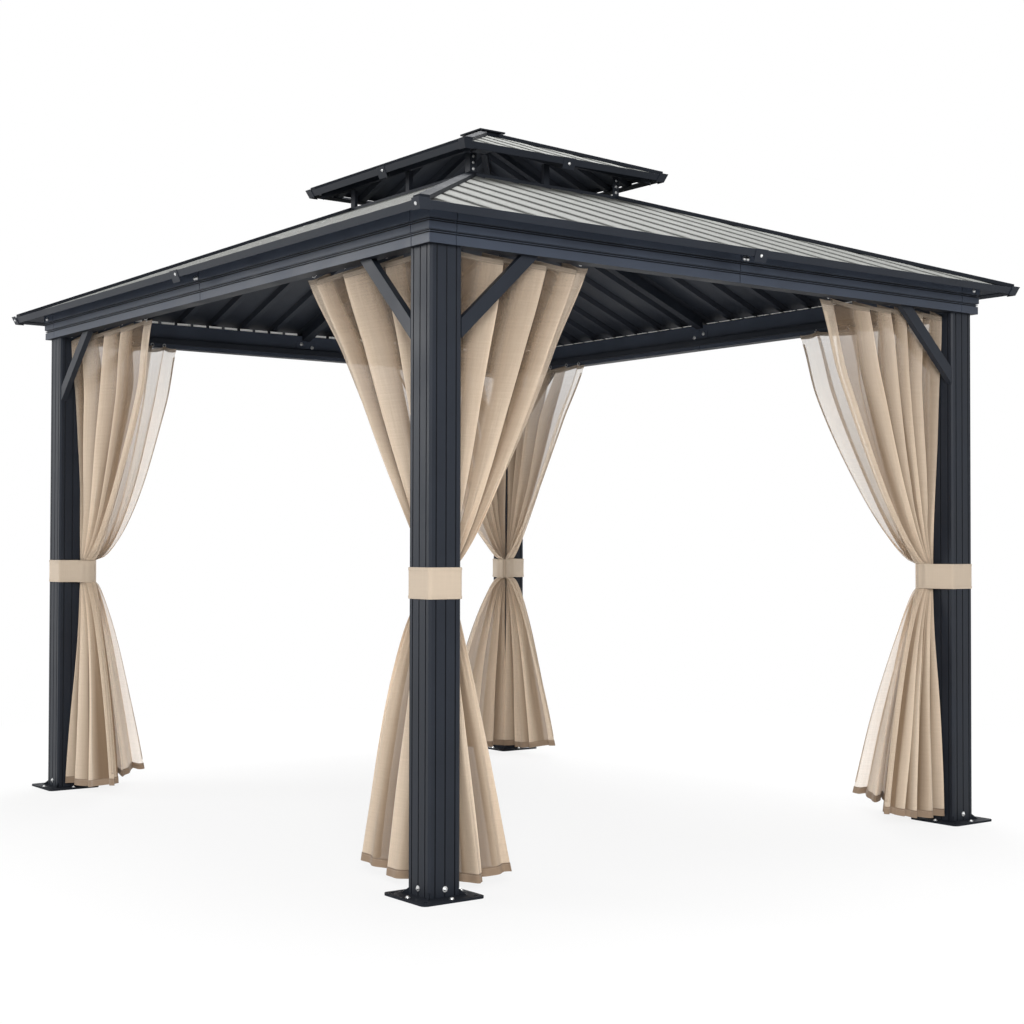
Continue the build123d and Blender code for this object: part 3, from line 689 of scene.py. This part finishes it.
for number, (side, corner) in enumerate(drapes):
    hang_curtain(side, corner, curtain_seed + number)


# Ties

tie_thickness = 0.003
tie_gap = 0.0004
tie_post_round = 0.009
tie_bundle_round = 0.034
tie_step = 0.004
least_arc_steps = 3
bundle_blend = (0.75 * post_size, 1.1 * post_size)
bundle_blend_lead = 0.03
tie_wave = 0.0016
tie_waves = 17
tie_foot_wave_share = 0.6
tie_droop = 0.0025
tie_droops = 2
tie_seed = 31
# Rows of a band as shares of its height, with the thickness of the folded cloth at each
tie_row_shares = (0.0, 0.02, 0.05, 0.085, 0.1, 0.3, 0.5, 0.7, 0.9, 0.915, 0.95, 0.98, 1.0)
tie_row_swells = (0.4, 0.95, 1.0, 0.9, 0.6, 0.5, 0.5, 0.5, 0.6, 0.9, 1.0, 0.95, 0.4)
tie_seam_rows = (3, 9)


def rounded_loop(points, radii, step):
    """Closed line through corners rounded by arcs, with points a step apart, and outward directions."""
    count = len(points)
    arcs = []
    for i in range(count):
        here, before, after = points[i], points[i - 1], points[(i + 1) % count]
        way_in, way_out = (here - before).normalized(), (after - here).normalized()
        turn = way_in.angle(way_out)
        cut = radii[i] * math.tan(turn / 2)
        side = 1 if way_in.x * way_out.y - way_in.y * way_out.x > 0 else -1
        start = here - way_in * cut
        centre = start + Vector((-way_in.y, way_in.x)) * side * radii[i]
        arcs.append((start, centre, side * turn, here + way_out * cut))
    line, outward = [], []
    for i, (start, centre, turn, end) in enumerate(arcs):
        steps = max(least_arc_steps, math.ceil(radii[i] * abs(turn) / step))
        for k in range(steps + 1):
            arm = Matrix.Rotation(turn * k / steps, 2) @ (start - centre)
            line.append(centre + arm)
            outward.append(arm.normalized())
        following = arcs[(i + 1) % count][0]
        parts = max(1, math.ceil((following - end).length / step))
        for k in range(1, parts):
            line.append(end + (following - end) * k / parts)
            outward.append(outward[-1])
    return line, outward


def tie_band(corner, seed):
    """Cloth band round a post and the bundle at its inner corner, with folded upper and lower edges."""
    signs = np.array(corners[corner])
    near, far = post_size - bundle_setback, post_size + bundle_reach
    outline = [(0, 0), (post_size, 0), (far, near), (far, far), (near, far), (0, post_size)]
    radii = [tie_post_round] * 2 + [tie_bundle_round] * 3 + [tie_post_round]
    line, outward = rounded_loop([Vector(point) for point in outline], radii, tie_step)
    turns = np.random.default_rng(seed).uniform(0, 2 * math.pi, 4)
    count = len(line)
    lengths = np.cumsum([0] + [(line[i + 1] - line[i]).length for i in range(count - 1)])
    perimeter = lengths[-1] + (line[0] - line[-1]).length
    base = np.array([tuple(point) for point in line])
    normal = np.array([tuple(way) for way in outward])
    on_bundle = smooth(*bundle_blend, base.min(axis=1) + bundle_blend_lead)
    around = lengths / perimeter * 2 * math.pi
    wave = tie_wave * np.sin(around * tie_waves + turns[0]) * on_bundle
    droop = tie_droop * np.sin(around * tie_droops + turns[1]) * on_bundle
    shells = []
    for thickness in (tie_thickness, 0.0):
        rows = []
        for share, swell in zip(tie_row_shares, tie_row_swells):
            push = tie_gap + thickness * swell + wave * between(tie_foot_wave_share, 1.0, share)
            spot = signs * (np.array(post_outer) - base - normal * push[:, None])
            rows.append(np.column_stack([spot, between(tie_low, tie_high, share) + droop]))
        shells.append(np.array(rows))
    outside, inside = shells
    points = np.concatenate([outside, inside[::-1]])
    faces = grid_faces(len(points), count, closed=True)
    last = (len(points) - 1) * count
    faces += [(last + i, last + (i + 1) % count, (i + 1) % count, i) for i in range(count)]
    if signs.prod() < 0:
        faces = [tuple(reversed(face)) for face in faces]
    flat = np.stack([np.broadcast_to(lengths, points.shape[:2]), points[..., 2]], axis=-1)
    return cloth_mesh(f"tie_{corner}", points, faces, flat), outside, perimeter


tie_seams = []
for number, corner in enumerate(corners):
    mesh, outside, perimeter = tie_band(corner, tie_seed + number)
    band = link_mesh(f"tie_{corner}", mesh, tie_beige)
    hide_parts("curtain_ties")
    tie_seams += [outside[row] for row in tie_seam_rows]


# What repeats, by geometry nodes

class Growth(NodeTree):
    """A geometry node tree being made, with named sizes as inputs."""

    prefix = "GeometryNode"

    def __init__(self, name, sizes):
        super().__init__(bpy.data.node_groups.new(name, "GeometryNodeTree"))
        interface = self.tree.interface
        interface.new_socket("Geometry", in_out="INPUT", socket_type="NodeSocketGeometry")
        interface.new_socket("Geometry", in_out="OUTPUT", socket_type="NodeSocketGeometry")
        for label, value in sizes.items():
            size = interface.new_socket(label, in_out="INPUT", socket_type="NodeSocketFloat")
            size.default_value = value
        self.given = self.node("NodeGroupInput").node.outputs

    def share(self, label, share):
        return self.math("MULTIPLY", self.given[label], share)

    def raised(self, geometry, height):
        place = self.node("ShaderNodeCombineXYZ", Z=height)
        return self.node("Transform", Geometry=geometry, Translation=place)

    def joined(self, *parts):
        whole = self.node("JoinGeometry")
        for part in reversed(parts):
            self.tree.links.new(part, whole.node.inputs[0])
        return whole

    def repeated(self, points, shape, facing, material):
        """Shape set on each point with its Z along a direction, made real and given its finish."""
        turn = self.node("FunctionNodeAlignRotationToVector", axis="Z", Vector=facing)
        placed = self.node("InstanceOnPoints", Points=points, Instance=shape, Rotation=turn)
        real = self.node("RealizeInstances", Geometry=placed)
        self.node("NodeGroupOutput", self.node("SetMaterial", Geometry=real, Material=material))
        return self.tree

    def on_places(self, shape, material):
        """Shape set on each place of a mesh, along the way that the place faces."""
        facing = self.node("InputNamedAttribute", data_type="FLOAT_VECTOR", Name="facing")
        return self.repeated(self.given["Geometry"], shape, facing, material)


def grow(name, tree, mesh, sizes=None):
    """Runs a tree on a mesh of places and keeps the result as a plain mesh."""
    seed = bpy.data.objects.new(name + "_places", mesh)
    bpy.context.scene.collection.objects.link(seed)
    modifier = seed.modifiers.new("grow", "NODES")
    modifier.node_group = tree
    for item in tree.interface.items_tree:
        if item.in_out == "INPUT" and item.name in (sizes or {}):
            modifier[item.identifier] = sizes[item.name]
    evaluated = seed.evaluated_get(bpy.context.evaluated_depsgraph_get())
    grown = bpy.data.meshes.new_from_object(evaluated)
    grown.name = name
    bpy.data.objects.remove(seed)
    link_mesh(name, grown)


def place_mesh(name, places):
    """Mesh of loose points, each with the way that it faces."""
    points, facings = zip(*places)
    mesh = bpy.data.meshes.new(name)
    mesh.from_pydata([tuple(point) for point in points], [], [])
    attribute = mesh.attributes.new("facing", "FLOAT_VECTOR", "POINT")
    attribute.data.foreach_set("vector", [value for facing in facings for value in facing])
    return mesh


def line_mesh(name, lines):
    points, edges = [], []
    for line in lines:
        start = len(points)
        points += [tuple(point) for point in line]
        edges += [(start + i, start + i + 1) for i in range(len(line) - 1)]
    mesh = bpy.data.meshes.new(name)
    mesh.from_pydata(points, edges, [])
    return mesh


frame_bolt = {"Head radius": 0.0065, "Head height": 0.005, "Washer radius": 0.0095, "Washer height": 0.0016}
roof_bolt = {"Head radius": 0.0045, "Head height": 0.0035, "Washer radius": 0.0062, "Washer height": 0.001}
curtain_hook = {"Ring radius": 0.008, "Wire radius": 0.0012, "Glider radius": 0.0036, "Glider height": 0.009}
thread_stitch = {"Pitch": 0.006, "Stitch length": 0.0042, "Thread radius": 0.0004}
seat_strip = {"Strip length": 0.070, "Strip height": 0.011, "Strip thickness": 0.002}


def bolt_tree():
    """Pan-head bolt on a washer, standing on each place along its facing."""
    growth = Growth("pan_head_bolts", frame_bolt)
    radius, height, washer_radius, washer_height = (growth.given[label] for label in frame_bolt)
    washer = growth.node("MeshCylinder", Vertices=20, Radius=washer_radius, Depth=washer_height)
    washer = growth.raised(washer, growth.share("Washer height", share=0.5))
    rim_height = growth.share("Head height", share=0.45)
    rim_top = growth.share("Head radius", share=0.94)
    rim = growth.node("MeshCone", Vertices=16, Radius_Bottom=radius, Radius_Top=rim_top, Depth=rim_height)
    dome_top = growth.share("Head radius", share=0.5)
    dome_height = growth.math("SUBTRACT", height, rim_height)
    dome = growth.node("MeshCone", Vertices=16, Radius_Bottom=rim_top, Radius_Top=dome_top, Depth=dome_height)
    dome = growth.raised(dome, growth.math("ADD", washer_height, rim_height))
    return growth.on_places(growth.joined(washer, growth.raised(rim, washer_height), dome), bright_zinc)


def hook_tree():
    """Glider in the rail's slot with a ring that takes the curtain's heading."""
    growth = Growth("curtain_hooks", curtain_hook)
    ring_radius, wire_radius, glider_radius, glider_height = (growth.given[label] for label in curtain_hook)
    ring_line = growth.node("CurvePrimitiveCircle", Resolution=20, Radius=ring_radius)
    wire = growth.node("CurvePrimitiveCircle", Resolution=8, Radius=wire_radius)
    ring = growth.node("CurveToMesh", Curve=ring_line, Profile_Curve=wire)
    upright = growth.node("Transform", Geometry=ring, Rotation=(math.pi / 2, 0, 0))
    glider = growth.node("MeshCylinder", Vertices=12, Radius=glider_radius, Depth=glider_height)
    lift = growth.math("ADD", ring_radius, growth.share("Glider height", share=0.3))
    return growth.on_places(growth.joined(upright, growth.raised(glider, lift)), bright_zinc)


def stitch_tree():
    """Row of short thread stitches along each line of a mesh of edges."""
    growth = Growth("stitches", thread_stitch)
    pitch, length, radius = (growth.given[label] for label in thread_stitch)
    line = growth.node("MeshToCurve", Mesh=growth.given["Geometry"])
    spots = growth.node("CurveToPoints", mode="LENGTH", Curve=line, Length=pitch)
    stitch = growth.node("MeshCylinder", Vertices=6, Radius=radius, Depth=length)
    return growth.repeated(spots, stitch, spots.node.outputs["Tangent"], thread_beige)


def strip_tree():
    """Short pale packing strips that stand on the beams' inner edges under the roof sheets."""
    growth = Growth("seat_strips", seat_strip)
    length, height, thickness = (growth.given[label] for label in seat_strip)
    size = growth.node("ShaderNodeCombineXYZ", X=height, Y=thickness, Z=length)
    return growth.on_places(growth.node("MeshCube", Size=size), pale_strip)


foot_bolt_height = 0.034
plate_bolt_inset = 0.020
beam_end_bolts = (("front_right", (0, -1)), ("back_left", (-1, 0)), ("back_right", (1, 0)),
                  ("back_right", (0, 1)))
beam_end_bolt_drop = 0.022
beam_end_bolt_inset = 0.04
splice_bolt_places = ((-0.03, 0.006), (0.034, -0.008))
seam_bolt_places = (0.016, 0.034)
seam_bolt_drop = 0.026
vent_bolt_shares = (-0.3, 0.0, 0.3)
clip_lean = -0.33
cap_lean = -0.41
seat_strip_pitch = 0.0875
seat_strip_inset = 0.004
hook_drop = 0.008
facing_limit = 0.98
same_level = 0.001
same_piece = 0.15


def face_spot(name, facing, near):
    """Centre of the flat face of a part that looks along a direction, on its piece nearest a place."""
    node = nodes[name]
    facing = Vector(facing).normalized()
    faces = [face for face in node.data.polygons if face.normal.dot(facing) > facing_limit]
    first = min(faces, key=lambda face: (node.matrix_world @ face.center - near).length)
    spot, area = Vector((0, 0, 0)), 0.0
    for face in faces:
        apart = face.center - first.center
        if abs(apart.dot(facing)) < same_level and apart.length < same_piece:
            spot += face.center * face.area
            area += face.area
    return node.matrix_world @ (spot / area)


def box_spot(name, way_x, way_y):
    """Place on the sides of a part's box that lie a way out, at half its height."""
    low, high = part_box(name)
    return Vector((way_x * high.x, way_y * high.y, (low.z + high.z) / 2))


def band_spot(name, facing, along):
    """Place on the outer face of a beam's upper band, a way along it and a drop below its top."""
    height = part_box(name)[1].z - seam_bolt_drop
    mesh = nodes[name].data
    levels = []
    for face in mesh.polygons:
        heights = [mesh.vertices[index].co.z for index in face.vertices]
        if face.normal.dot(facing) > facing_limit and min(heights) <= height <= max(heights):
            levels.append(face.center.dot(facing))
    return facing * max(levels) + along + Vector((0, 0, height))


def post_bolts():
    """Bolts through the foot of each face of a post, and one on its plate before each face."""
    places = []
    for corner in corners:
        low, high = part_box(f"post_{corner}")
        centre = (low + high) / 2
        plate_low, plate_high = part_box(f"base_plate_{corner}")
        plate_reach = (plate_high.x - plate_low.x) / 2 - plate_bolt_inset
        for way in side_outward.values():
            facing = Vector((*way, 0))
            places.append((Vector((*centre.xy, foot_bolt_height)) + facing * post_size / 2, facing))
            places.append((Vector((*centre.xy, plate_top)) + facing * plate_reach, (0, 0, 1)))
    return places


def beam_bolts():
    """Bolts near the ends of the beams' top bands, beside their seams and on the plates behind them."""
    places = []
    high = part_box("beam_corners")[1]
    for corner, way in beam_end_bolts:
        sign_x, sign_y = corners[corner]
        reach_x = high.x - beam_end_bolt_inset * abs(way[1])
        reach_y = high.y - beam_end_bolt_inset * abs(way[0])
        places.append(((sign_x * reach_x, sign_y * reach_y, high.z - beam_end_bolt_drop), (*way, 0)))
    for side, (out_x, out_y) in side_outward.items():
        outward = Vector((out_x, out_y, 0))
        along = Vector((abs(out_y), abs(out_x), 0))
        spot = face_spot("beam_splices", -outward, box_spot("beam_splices", out_x, out_y))
        places += [(spot + along * a + Vector((0, 0, z)), -outward) for a, z in splice_bolt_places]
        places += [(band_spot(f"beam_{side}", outward, along * a), outward) for a in seam_bolt_places]
    return places


def roof_bolts():
    """Bolts on the eave clips of both tiers, on the corner caps and on the legs of the vent posts."""
    places = []
    lower_clip = Vector((*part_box("eave_clips")[1].xy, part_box("eave_trims")[1].z))
    upper_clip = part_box("upper_eave_trims")[1]
    for way in side_outward.values():
        leaning = Vector((*way, clip_lean)).normalized()
        for reach in (lower_clip, upper_clip):
            places.append((face_spot("eave_clips", leaning, reach * Vector((*way, 1))), leaning))
    vent_low, vent_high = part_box("vent_posts")
    for signs in corners.values():
        leaning = Vector((signs[0], 0, cap_lean)).normalized()
        places.append((face_spot("eave_corner_caps", leaning, box_spot("eave_corner_caps", *signs)), leaning))
        leg = (0, signs[1], 0)
        spot = face_spot("vent_posts", leg, box_spot("vent_posts", *signs))
        rise = Vector((0, 0, vent_high.z - vent_low.z))
        places += [(spot + rise * share, leg) for share in vent_bolt_shares]
    return places


def strip_places():
    """Places along the top of each beam's inner edge, a pitch apart, without the middle one."""
    places = []
    for side, outward in side_outward.items():
        low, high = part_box(f"beam_{side}")
        along = side_axis[side]
        out = outward[1 - along]
        inner = low[1 - along] if out > 0 else high[1 - along]
        facing = [0.0, 0.0, 0.0]
        facing[along] = 1.0
        count = int((high[along] - seat_strip_pitch) / seat_strip_pitch)
        for k in range(-count, count + 1):
            place = [0.0, 0.0, high.z + seat_strip["Strip height"] / 2]
            place[along] = k * seat_strip_pitch
            place[1 - along] = inner + out * seat_strip_inset
            if k:
                places.append((place, facing))
    return places


bolts = bolt_tree()
grow("frame_bolts", bolts, place_mesh("bolt_places", post_bolts() + beam_bolts()))
grow("roof_bolts", bolts, place_mesh("roof_bolt_places", roof_bolts()), roof_bolt)
grow("seat_strips", strip_tree(), place_mesh("strip_places", strip_places()))
hooks = [((place[0], place[1], rail_bottom - hook_drop), (0, 0, 1)) for place in hook_places]
grow("curtain_hooks", hook_tree(), place_mesh("hook_places", hooks))
tie_lines = line_mesh("seam_lines", [np.concatenate([seam, seam[:1]]) for seam in tie_seams])
grow("tie_stitches", stitch_tree(), tie_lines)
grow("curtain_stitches", stitch_tree(), line_mesh("hem_lines", hem_lines))


# Studio

white = (1, 1, 1, 1)
floor_half = 30.0

# Place, target, size and power of each lamp
lamps = {
    "overhead": ((1.5, 1.0, 8.5), (0, 0, 1.0), 6.0, 900),
    "key": ((-5.5, -8.2, 4.0), (0, 0, 1.3), 3.0, 570),
    "left": ((-6.5, 5.5, 3.0), (0, 0, 1.3), 3.0, 200),
    "back": ((6.0, 8.0, 3.5), (0, 0, 1.2), 5.0, 600),
}

camera_place = (-4.4231, -6.1461, 1.1447)
camera_yaw = math.radians(36.775)
camera_pitch = math.radians(1.183)
camera_roll = math.radians(0.137)


def studio_floor():
    """Pale floor that reads as white to the camera and keeps the gazebo's soft shadow."""
    mesh = bpy.data.meshes.new("studio_floor")
    h = floor_half
    mesh.from_pydata([(-h, -h, 0), (h, -h, 0), (h, h, 0), (-h, h, 0)], [], [(0, 1, 2, 3)])
    floor = bpy.data.objects.new("studio_floor", mesh)
    bpy.context.scene.collection.objects.link(floor)
    finish = Finish("pale_floor")
    base = finish.node("BsdfDiffuse", Color=(0.8, 0.8, 0.8, 1))
    glow = finish.node("Emission", Color=white, Strength=1.0)
    away = finish.node("VectorMath", finish.node("TexCoord", output="Object"), output="Value",
                       operation="LENGTH")
    plain = finish.node("MapRange", interpolation_type="SMOOTHSTEP", Value=away,
                        From_Min=2.2, From_Max=4.5, To_Min=0.83, To_Max=1.0)
    shown = finish.math("MULTIPLY", finish.seen(), plain)
    mesh.materials.append(finish.show(finish.node("MixShader", shown, base, glow)))


def studio_world():
    """Even white surround: lights the gazebo softly, and is plain white where it is seen."""
    world = bpy.data.worlds.new("studio")
    bpy.context.scene.world = world
    world.use_nodes = True
    surround = NodeTree(world.node_tree)
    soft = surround.node("Background", Color=white, Strength=0.5)
    plain = surround.node("Background", Color=white, Strength=1.0)
    surround.node("OutputWorld", Surface=surround.node("MixShader", surround.seen(), soft, plain))


def soft_lamp(name, place, target, size, power):
    lamp = bpy.data.lights.new(name, "AREA")
    lamp.size = size
    lamp.energy = power
    holder = bpy.data.objects.new(name, lamp)
    holder.location = place
    holder.rotation_mode = "QUATERNION"
    holder.rotation_quaternion = (Vector(target) - Vector(place)).to_track_quat("-Z", "Y")
    bpy.context.scene.collection.objects.link(holder)


def photo_camera():
    """Camera at the photograph's viewpoint, from a fit to the posts, plates and eaves."""
    camera = bpy.data.cameras.new("photo_camera")
    camera.lens = 59.18
    camera.sensor_width = 36.0
    camera.clip_end = 200.0
    holder = bpy.data.objects.new("photo_camera", camera)
    heading = Matrix.Rotation(-camera_yaw, 4, "Z")
    tilt = Matrix.Rotation(math.pi / 2 + camera_pitch, 4, "X") @ Matrix.Rotation(camera_roll, 4, "Z")
    holder.matrix_world = Matrix.Translation(camera_place) @ heading @ tilt
    bpy.context.scene.collection.objects.link(holder)
    bpy.context.scene.camera = holder


studio_floor()
studio_world()
for name, settings in lamps.items():
    soft_lamp(name, *settings)
photo_camera()
bpy.context.scene.view_settings.view_transform = "Standard"
